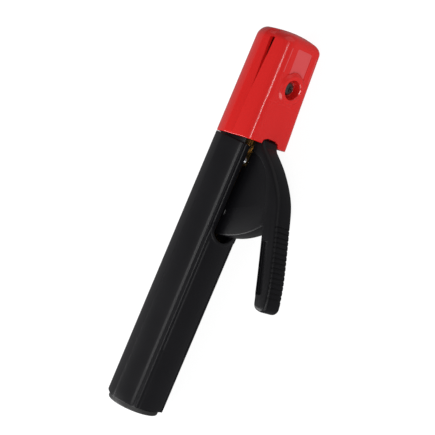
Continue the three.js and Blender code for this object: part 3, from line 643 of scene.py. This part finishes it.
def movingSection(x, wall, edge):
    t = (x - handleLength) / (tipX - handleLength)
    reach = mix(moving["reachRear"], moving["reachTip"], t) - wall
    width = mix(moving["widthRear"], moving["widthTip"], t) - wall
    side = moving["side"] - wall
    radius = moving["corner"] - wall / 2
    slope = math.atan2(side - width, reach)  # the side leans in towards the lever face
    turn = math.pi / 2 - slope
    inset = radius * math.tan(turn / 2)
    start = (reach - inset * math.cos(slope), width + inset * math.sin(slope))
    centre = (reach - radius, width - inset)
    slotSide = (edge, side - (side - width) * edge / reach)
    half = []
    for k in range(moving["sidePoints"]):
        along = k / moving["sidePoints"]
        half.append((mix(slotSide[0], start[0], along), mix(slotSide[1], start[1], along)))
    for k in range(moving["cornerPoints"] + 1):
        angle = turn * (1 - k / moving["cornerPoints"])
        half.append((centre[0] + radius * math.cos(angle), centre[1] + radius * math.sin(angle)))
    face = [(reach, centre[1] * (1 - 2 * k / moving["facePoints"])) for k in range(1, moving["facePoints"])]
    points = half + face + [(r, -h) for r, h in reversed(half)]
    if not wall:
        points = [(r - faceRelief(x, r, h, reach), h) for r, h in points]
    return points


def faceRelief(x, r, h, reach):
    # the lever face steps down behind the screw boss
    onFace = ease((r - reach + 2.0) / 2.0)
    return moving["step"] * onFace * ease((moving["stepX"] - x) / 0.7)


def fixedSection(x, wall, edge):
    radius = handle["radius"] - wall
    count = handle["perPanel"]
    low, high = 0.0, 1.0
    for _ in range(40):  # where the top panel passes the edge's reach
        middle = (low + high) / 2
        if panelPoint(radius, 0, middle).x > edge:
            low = middle
        else:
            high = middle
    sideSteps = 24
    run = [panelPoint(radius, 0, mix(high, 1, k / sideSteps)) for k in range(sideSteps)]
    run += [panelPoint(radius, 1, k / count) for k in range(count)]
    run += [panelPoint(radius, 2, 0.5 * k / (count // 2)) for k in range(count // 2 + 1)]
    run += [Vector((p.x, -p.y)) for p in reversed(run[:-1])]
    return [tuple(p) for p in softened(run, handle["capPasses"], closed=False)]


def capLoops(section, side, wall, tipRound, widest, longer=0.0):
    roundness = tipRound - wall / 2
    endX = tipX - head["dome"] - wall
    start = endX - roundness
    loops = []

    def ring(x, scale, trueX=None, inset=0.0, t=None):
        base = section(x, wall + inset, splitEdge(x, side))
        loop = []
        for r, h in base:
            rear = handleLength + headRear(r) - longer
            back = 1 - ease((x - rear) / 30) if t is None else t
            place = (trueX or x) + (rear - handleLength) * back * (0 if trueX else 1)
            loop.append((place, head["split"] + (r - head["split"]) * scale, h * scale))
        return loop

    rim = head["rim"] if not wall else 0.0
    if rim:
        for k in range(4):
            a = math.pi / 2 * k / 4
            loops.append([(x + rim * (1 - math.cos(a)), r, h)
                          for x, r, h in ring(handleLength, 1, t=1, inset=rim * (1 - math.sin(a)))])
    stationStep = 1.5
    count = int((start - handleLength) / stationStep)
    splitStart = tipX - head["wedgeInset"] - head["wedgeLength"]
    stations = [handleLength + stationStep * k for k in range(1 if rim else 0, count)]
    if not wall:
        stations += [moving["stepX"] - 0.7 + 0.175 * k for k in range(6)]
        stations += [splitStart]
    for x in sorted(set(stations)):
        loops.append(ring(x, 1))
    bends = [head["roundEnd"] * k / 12 for k in range(13)]
    for a in bends:
        angle = math.radians(a)
        x = start + roundness * math.sin(angle)
        loops.append(ring(x, 1 - roundness / widest * (1 - math.cos(angle)), trueX=x))
    lastScale = 1 - roundness / widest * (1 - math.cos(math.radians(head["roundEnd"])))
    lastX = start + roundness * math.sin(math.radians(head["roundEnd"]))
    apex = tipX - wall
    for k in range(1, 9):
        u = 1 - k / 9
        loops.append(ring(apex, lastScale * u, trueX=lastX + (apex - lastX) * (1 - u * u)))
    return loops


def bossPiece(face):
    r, rise, top = boss["radius"], boss["rise"], boss["top"]
    curve = [(r + 0.55, face - 0.6), (r + 0.5, face - 0.05), (r + 0.1, face + 0.1), (r - 0.25, face + 0.4)]
    crest = [(top + 0.5, face + rise - 0.35), (top + 0.15, face + rise - 0.08), (top - 0.3, face + rise)]
    profile = [(0, face - 1.2), (r + 0.55, face - 1.2)] + curve + crest + [(0, face + rise)]
    return turned("tool", profile, "reach", (screwX, 0, 0), 128)


def makeMovingCap():
    widest = moving["reachTip"] - head["split"]
    piece = rings("movingCap", capLoops(movingSection, 1, 0.0, head["movingRound"], widest))
    face = leverFaceAt(screwX)
    carve(piece, bossPiece(face), "UNION")

    def inside(x, wall, edge):
        return movingSection(x, wall, head["split"] - 2)

    hollow = rings("tool", capLoops(inside, 1, head["wall"], head["movingRound"], widest, longer=3))
    pillar = turned("tool", [(0, 13.3), (8.5, 13.3), (8.5, 30), (0, 30)], "reach", (screwX, 0, 0))
    carve(hollow, pillar)
    carve(piece, hollow)
    recess = [(0, boss["seat"]), (boss["recess"] - 0.3, boss["seat"]), (boss["recess"], boss["seat"] + 0.3)]
    mouth = face + boss["rise"]
    recess += [(boss["recess"], mouth - 0.5), (boss["recess"] + 0.5, mouth + 0.02)]
    recess += [(boss["recess"] + 0.5, 40), (0, 40)]
    carve(piece, turned("tool", recess, "reach", (screwX, 0, 0), 96))
    hole = [(0, 8), (boss["screwHole"], 8), (boss["screwHole"], 30), (0, 30)]
    carve(piece, turned("tool", hole, "reach", (screwX, 0, 0), 48))
    carve(piece, neckNotchTool())
    carve(piece, patchTool())
    present(piece, "lever", "head_red", "moving_jaw_cap", smoothTo=30)
    # the panel floor gets the etched finish with its painted reflection
    etchPatchWithSheen(piece)


notch = {"half": 7.3, "flat": 3.4, "front": pivotX + 6.8, "rear": 150, "under": 14.2, "over": 40.0}


def neckNotchTool():
    half, front = notch["half"], notch["front"]
    outline = [(notch["rear"], -half), (front - 3.4, -half)]
    outline += [(front - 1.2, -half + 0.9), (front, -notch["flat"])]
    outline += [(x, -height) for x, height in reversed(outline)]
    depths = (notch["under"], notch["over"])
    return rings("tool", [[(x, reach, height) for x, height in outline] for reach in depths])


def patchTool():
    # a shallow plain panel in front of the boss, sloping with the lever face
    low, high, half = patch["low"], patch["high"], patch["half"]
    corner = patch["corner"]
    outline = arc((high - corner, half - corner), corner, 90, 0, 5)
    outline += arc((high - corner, corner - half), corner, 0, -90, 5)
    outline += [(low - 1.5, -half), (low + 0.6, -half * 0.45), (low + 1.4, 0)]
    outline += [(low + 0.6, half * 0.45), (low - 1.5, half)]
    loops = []
    for lift in (0.0, 6.0):
        loops.append([(x, leverFaceAt(x) - patch["depth"] + lift, height) for x, height in outline])
    return rings("tool", loops)


def leverFaceAt(x):
    return mix(moving["reachRear"], moving["reachTip"], (x - handleLength) / (tipX - handleLength))


def etchPatchWithSheen(piece):
    # the floor of the shallow panel has a finer, duller grain than the rest of the cap; its paler, pinker
    # colour is a painted reflection
    piece.data.materials.append(etchedSheenField)
    for face in piece.data.polygons:
        x = (face.center.x - shellLow.x) / mm
        floor = leverFaceAt(x) - patch["depth"]
        reach = (axisY - face.center.y) / mm
        if patch["low"] - 2 < x < patch["high"] and abs(reach - floor) < 0.06 and face.normal.y < -0.9:
            face.material_index = 1


fixed = {"pillar": 8, "pillarTop": 8.7, "seat": 10.9, "recess": 5.2, "mouth": 5.8, "screwHole": 2.6}


def makeFixedCap():
    widest = handle["radius"] + head["split"]
    piece = rings("fixedCap", capLoops(fixedSection, -1, 0.0, head["fixedRound"], widest))

    def inside(x, wall, edge):
        return fixedSection(x, wall, head["split"] + 2)

    hollow = rings("tool", capLoops(inside, -1, head["wall"], head["fixedRound"], widest, longer=3))
    pillar, top = fixed["pillar"], fixed["pillarTop"]
    pillarTool = [(0, -top), (pillar, -top), (pillar, -30), (0, -30)]
    carve(hollow, turned("tool", pillarTool, "reach", (screwX, 0, 0)))
    carve(piece, hollow)
    seat, recess, mouth = fixed["seat"], fixed["recess"], fixed["mouth"]
    recessTool = [(0, -seat), (5.0, -seat), (recess, -11.1), (recess, -17.6)]
    recessTool += [(mouth, -18.6), (mouth, -40), (0, -40)]
    carve(piece, turned("tool", recessTool, "reach", (screwX, 0, 0), 96))
    hole = [(0, -6), (fixed["screwHole"], -6), (fixed["screwHole"], -20), (0, -20)]
    carve(piece, turned("tool", hole, "reach", (screwX, 0, 0), 48))
    return present(piece, "handle", "head_red", "fixed_jaw_cap", smoothTo=30)


makeMovingCap()
makeFixedCap()

crossCut = {"width": 1.1, "span": 4.6, "depth": 1.5, "floor": 0.62}  # floor: its size against the mouth's


def screwPiece(name, node, body, profile, direction, top, x):
    piece = turned(name, [(r, direction * d) for r, d in profile], "reach", (x, 0, 0), 72)
    for wide, tall in ((crossCut["width"], crossCut["span"]), (crossCut["span"], crossCut["width"])):
        faces = sorted((direction * (top - crossCut["depth"]), direction * (top + 2)))
        loops = []
        for reach in faces:
            narrow = crossCut["floor"] if abs(reach) < top else 1.0  # the recess tapers to its floor
            loops.append([(x + sx * wide / 2 * narrow, reach, sz * tall / 2 * narrow)
                          for sx, sz in ((-1, -1), (1, -1), (1, 1), (-1, 1))])
        carve(piece, rings("tool", loops))
    # the screws take the darkened steel, whose dark tone is painted recess shade
    return present(piece, body, "zinc_steel", node, finish="recess_shaded_steel")


def panHead(radius, height, shank, seat, end):
    crown = arc((seat + height - 1.5, radius - 1.5), 1.5, 90, 12, 6)
    stem = [(0, end), (shank, end), (shank, seat), (radius, seat)]
    return stem + [(y, x) for x, y in crown] + [(0, seat + height)]


capScrew = {
    "radius": 4.0, "height": 2.6, "shank": 2.3, "clearance": 0.3, "movingEnd": 8.0,
    "fixedSeat": 11.2, "fixedTop": 13.8, "fixedEnd": 0.8,
}


def makeScrews():
    radius, height, shank = capScrew["radius"], capScrew["height"], capScrew["shank"]
    movingSeat = boss["seat"] + capScrew["clearance"]
    movingHead = panHead(radius, height, shank, movingSeat, capScrew["movingEnd"])
    screwPiece("movingCapScrew", "moving_cap_screw", "lever", movingHead, 1, movingSeat + height, screwX)
    fixedHead = panHead(radius, height, shank, capScrew["fixedSeat"], capScrew["fixedEnd"])
    screwPiece("fixedCapScrew", "fixed_cap_screw", "handle", fixedHead, -1, capScrew["fixedTop"], screwX)
    top, wide = lock["headTop"], lock["headRadius"]
    shank, end = lock["shank"], lock["shankEnd"]
    flush = [(0, end), (shank, end), (shank, top - lock["headDeep"])]
    flush += [(wide, top - 0.35), (wide - 0.1, top - 0.1), (wide - 0.4, top), (0, top)]
    screwPiece("handleLockScrew", "handle_lock_screw", "handle", flush, -1, top, lockX)


makeScrews()

lever = {
    "half": 6.5, "neckFront": 6.0, "neckRear": 3.5, "under": 15.2, "length": 87.4,
    "outerRound": 2.6, "innerRound": 1.1,
    "webHalf": 5.4, "webUnder": 12.2, "webHigh": 46, "webGap": 3.8, "webRound": 0.7, "lug": 14.0,
    "pocketStart": 2.0, "pocketLength": 32.0, "pocketOffset": 1.3, "pocketHeight": 4.3, "pocketDepth": 1.5,
    "ridges": 15, "ridgePitch": 3.0, "ridgeGap": 1.1, "ridgeDepth": 0.5, "ridgeStart": 37.5, "ridgeWrap": 1.5,
}
fingerOuter = [(2, 24), (-8.3, 38.4), (-22.4, 51.6), (-40, 60.2), (-65, 70.8), (-78.4, 75.1)]
fingerInner = [(-79.4, 63.8), (-66, 58.4), (-47.6, 50.6), (-30.3, 43.2), (-13, 33.8), (-5.5, 24)]


def fromPivot(points):
    return [(pivotX + x, reach) for x, reach in points]


def cornerArc(before, corner, after, radius, steps=7):
    a = (Vector(before) - Vector(corner)).normalized()
    b = (Vector(after) - Vector(corner)).normalized()
    half = a.angle(b) / 2
    centre = Vector(corner) + (a + b).normalized() * radius / math.sin(half)
    start = Vector(corner) + a * radius / math.tan(half) - centre
    end = Vector(corner) + b * radius / math.tan(half) - centre
    turn = math.atan2(start.x * end.y - start.y * end.x, start.dot(end))
    return [tuple(centre + Matrix.Rotation(turn * k / steps, 2) @ start) for k in range(steps + 1)]


def bandOutline(inset=0.0):
    outer = curveThrough(fromPivot(fingerOuter), 70)
    inner = curveThrough(fromPivot(fingerInner), 70)
    endX = pivotX - lever["length"]
    upper, lower = (endX + 0.4, 76.6), (endX + 1.2, 66.3)
    tip = cornerArc(outer[-1], upper, lower, 4.6) + cornerArc(upper, lower, inner[0], 3.4)
    neck = [(pivotX - lever["neckRear"], lever["under"]), (pivotX + lever["neckFront"] - 0.8, lever["under"])]
    neck += [(pivotX + lever["neckFront"], lever["under"] + 0.8), (pivotX + lever["neckFront"] - 0.2, 20.2),
             (pivotX + 4.9, 21.8)]
    outline = neck + outer + tip + inner
    radii = [lever["innerRound"]] * len(neck) + [lever["outerRound"]] * len(outer)
    radii += [2.2] * len(tip) + [lever["innerRound"]] * len(inner)
    for _ in range(3):
        radii = [(radii[k - 1] + radii[k] + radii[(k + 1) % len(radii)]) / 3 for k in range(len(radii))]
    if inset:
        inward = -1 if signedArea(outline) > 0 else 1
        moved = []
        for k, (x, reach) in enumerate(outline):
            edge = Vector(outline[(k + 1) % len(outline)]) - Vector(outline[k - 1])
            side = Vector((edge.y, -edge.x)).normalized() * inset
            moved.append((x + inward * side.x, reach + inward * side.y))
        outline = moved
    return outline, radii


def webOutline():
    radius = pivotX - (handleLength - handle["slotLength"]) - lever["webGap"]

    def onWeb(distance, angle):
        a = math.radians(angle)
        return pivotX - distance * math.cos(a), pivotReach + distance * math.sin(a)

    lowest = math.degrees(math.asin((lever["webUnder"] - pivotReach) / radius))
    rim = [onWeb(radius, mix(lowest, lever["webHigh"], k / 30)) for k in range(31)]
    under, low = lever["under"], lever["webUnder"]
    lug = lever["lug"]
    inside = [(-25, 47), (-7, 31), (-1, 20), (-1, under), (-lug - 0.3, under), (-lug - 0.9, low)]
    return rim + fromPivot(inside)


def ridgeTools(outline, radii):
    # slices across the finger's back, less the body that stays inside the grooves
    outer = curveThrough(fromPivot(fingerOuter), 400)
    lengths = [0.0]
    for a, b in zip(outer, outer[1:]):
        lengths.append(lengths[-1] + math.dist(a, b))
    first = next(k for k, p in enumerate(outer) if p[0] < pivotX - lever["ridgeStart"])
    points, faces = [], []
    for ridge in range(lever["ridges"]):
        along = lengths[first] + ridge * lever["ridgePitch"]
        k = min(next((i for i, d in enumerate(lengths) if d >= along), len(outer) - 2), len(outer) - 2)
        way = (Vector(outer[k + 1]) - Vector(outer[k])).normalized()
        out = Vector((-way.y, way.x))
        out = out if out.y > 0 else -out
        base = len(points)
        for height in (-lever["half"] - 1, lever["half"] + 1):
            for depth in (-lever["ridgeWrap"], 2.0):
                for shift in (-0.5, 0.5):
                    p = Vector(outer[k]) + way * shift * lever["ridgeGap"] + out * depth
                    points.append((p.x, p.y, height))
        faces += [tuple(base + i for i in quad) for quad in
                  ((0, 1, 3, 2), (4, 6, 7, 5), (0, 4, 5, 1), (2, 3, 7, 6), (0, 2, 6, 4), (1, 5, 7, 3))]
    slices = newPiece("tool", points, faces)
    small, _ = bandOutline(lever["ridgeDepth"])
    core = plate("tool", small, lever["half"] - lever["ridgeDepth"], radii)
    return carve(slices, core)


def pocketTool(side):
    root, end = [Vector(p) for p in (fromPivot(fingerInner)[2], fromPivot(fingerInner)[0])]
    along = (end - root).normalized()
    across = Vector((along.y, -along.x))
    low, high = lever["pocketOffset"], lever["pocketOffset"] + lever["pocketHeight"]
    first, last = lever["pocketStart"], lever["pocketStart"] + lever["pocketLength"]
    corners = [(first, low), (last, low), (last, high), (first, high)]
    outline = []
    for k in range(4):
        spots = [root + along * corners[i][0] + across * corners[i][1] for i in (k - 1, k, (k + 1) % 4)]
        outline += cornerArc(*spots, 1.2, 5)
    return plate("tool", outline, lever["pocketDepth"], 0.45, middle=side * lever["half"], steps=3)


seat = {"radius": 5.8, "low": 11.6, "high": 14.4, "corner": 0.5}


def makeLever():
    outline, radii = bandOutline()
    piece = plate("leverGrip", outline, lever["half"], radii, steps=5)
    carve(piece, plate("tool", webOutline(), lever["webHalf"], lever["webRound"], steps=3), "UNION")
    wide, low, high, corner = (seat[key] for key in ("radius", "low", "high", "corner"))
    profile = [(0, low), (wide - corner, low), (wide, low + corner)]
    profile += [(wide, high - corner), (wide - corner, high), (0, high)]
    carve(piece, turned("tool", profile, "reach", (springX, 0, 0), 64), "UNION")
    carve(piece, ridgeTools(outline, radii))
    for side in (1, -1):
        carve(piece, pocketTool(side))
    return present(piece, "lever", "lever_black", "lever_grip", smoothTo=33)


makeLever()

spring = {"radius": 4.7, "wire": 0.7, "coils": 6, "low": -9.9, "high": 11.3, "keep": 0.33}


def makeSpring():
    steps = 32 * spring["coils"]
    low, high = spring["low"] + spring["wire"], spring["high"] - spring["wire"]
    loops = []
    for k in range(steps + 1):
        t = k / steps
        closing = 0.5 / spring["coils"]
        rise = ease(t / closing / 2) * 0.02 + t * 0.96 + ease((t - 1 + closing * 2) / closing / 2) * 0.02
        angle = 2 * math.pi * spring["coils"] * t
        centre = Vector((springX + spring["radius"] * math.cos(angle), mix(low, high, rise),
                         spring["radius"] * math.sin(angle)))
        out = Vector((math.cos(angle), 0, math.sin(angle)))
        size = spring["wire"] * (0.75 if k in (0, steps) else 1)
        loops.append([tuple(centre + (out * math.cos(a) + Vector((0, 1, 0)) * math.sin(a)) * size)
                      for a in [2 * math.pi * j / 12 for j in range(12)]])
    piece = rings("leverSpring", loops)
    present(piece, "handle", "spring_steel", "lever_spring")
    foot = tuple(spot(springX, spring["low"], 0))
    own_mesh(piece)


makeSpring()

for part in frame["record"]["subparts"]:
    node = frame["nodes"][part["node"]]
    for place in node.material_slots:
        place.material = finishes[part["material_slot"]]
print("kept CAD pieces have their finishes")

studio = {
    "aim": Vector((0.0036, 0.0270, 0.0163)), "toEye": Vector((0.085, -0.70, 0.70)),
    "up": Vector((0.922, 0.274, 0.274)), "distance": 0.9086, "fieldOfView": 16.7, "sky": 0.20,
    "floorTone": 0.12, "floorGlow": 0.93,
}


def aimed(thing, place, target, up):
    back = (place - target).normalized()
    side = up.cross(back).normalized()
    turn = Matrix((side, back.cross(side), back)).transposed().to_4x4()
    thing.matrix_world = Matrix.Translation(place) @ turn


def makeCamera():
    lens = bpy.data.cameras.new("lens")
    lens.sensor_width = 36
    lens.angle = math.radians(studio["fieldOfView"])
    lens.clip_end = 20
    camera = bpy.data.objects.new("camera", lens)
    bpy.context.collection.objects.link(camera)
    eye = studio["aim"] + studio["toEye"].normalized() * studio["distance"]
    aimed(camera, eye, studio["aim"], studio["up"])
    bpy.context.scene.camera = camera


def makeFloor():
    mesh = bpy.data.meshes.new("floor")
    wide, level = 6.0, cadLow.z
    corners = [(-0.5, -0.5), (0.5, -0.5), (0.5, 0.5), (-0.5, 0.5)]
    mesh.from_pydata([(wide * x, wide * y, level) for x, y in corners], [], [(0, 1, 2, 3)])
    floor = bpy.data.objects.new("floor", mesh)
    bpy.context.collection.objects.link(floor)
    fixedValues = {"Roughness": 0.9, "Emission Strength": studio["floorGlow"]}
    material, shader, here = startFinish("pale floor", fixedValues)
    shader.inputs["Emission Color"].default_value = (1, 1, 1, 1)
    tone = studio["floorTone"]
    greys = [(grey, grey, grey, 1) for grey in (tone, tone + 0.01)]
    feed(shader, colour=here.noise(0.01, 2).blend(*greys))
    mesh.materials.append(material)
    floor.visible_glossy = False  # the object's gloss shows the dim room and the lamps only


def softLight(name, towards, distance, size, power):
    # an area lamp that shines at the object from a direction
    place = studio["aim"] + Vector(towards).normalized() * distance
    lamp = bpy.data.lights.new(name, "AREA")
    lamp.shape = "RECTANGLE"
    lamp.size, lamp.size_y = size
    lamp.energy = power
    thing = bpy.data.objects.new(name, lamp)
    bpy.context.collection.objects.link(thing)
    aimed(thing, place, studio["aim"], Vector((0, 0, 1)))


def makeStudio():
    sky = bpy.data.worlds.new("studio")
    bpy.context.scene.world = sky
    sky.use_nodes = True
    sky.node_tree.nodes["Background"].inputs["Color"].default_value = (1, 1, 1, 1)
    sky.node_tree.nodes["Background"].inputs["Strength"].default_value = studio["sky"]
    softLight("front strip", (-0.08, -0.695, 0.72), 1.5, (0.9, 0.16), 8.0)
    softLight("cable end high", (-0.75, 0.46, 0.47), 1.3, (1.0, 1.0), 25.0)
    softLight("cable end low", (-0.70, -0.68, 0.20), 1.3, (0.7, 0.7), 5.5)
    softLight("tip end", (0.90, -0.20, 0.35), 1.3, (1.6, 1.6), 4.0)
    makeFloor()
    makeCamera()
    bpy.context.scene.view_settings.view_transform = "Standard"


makeStudio()
print("studio set")
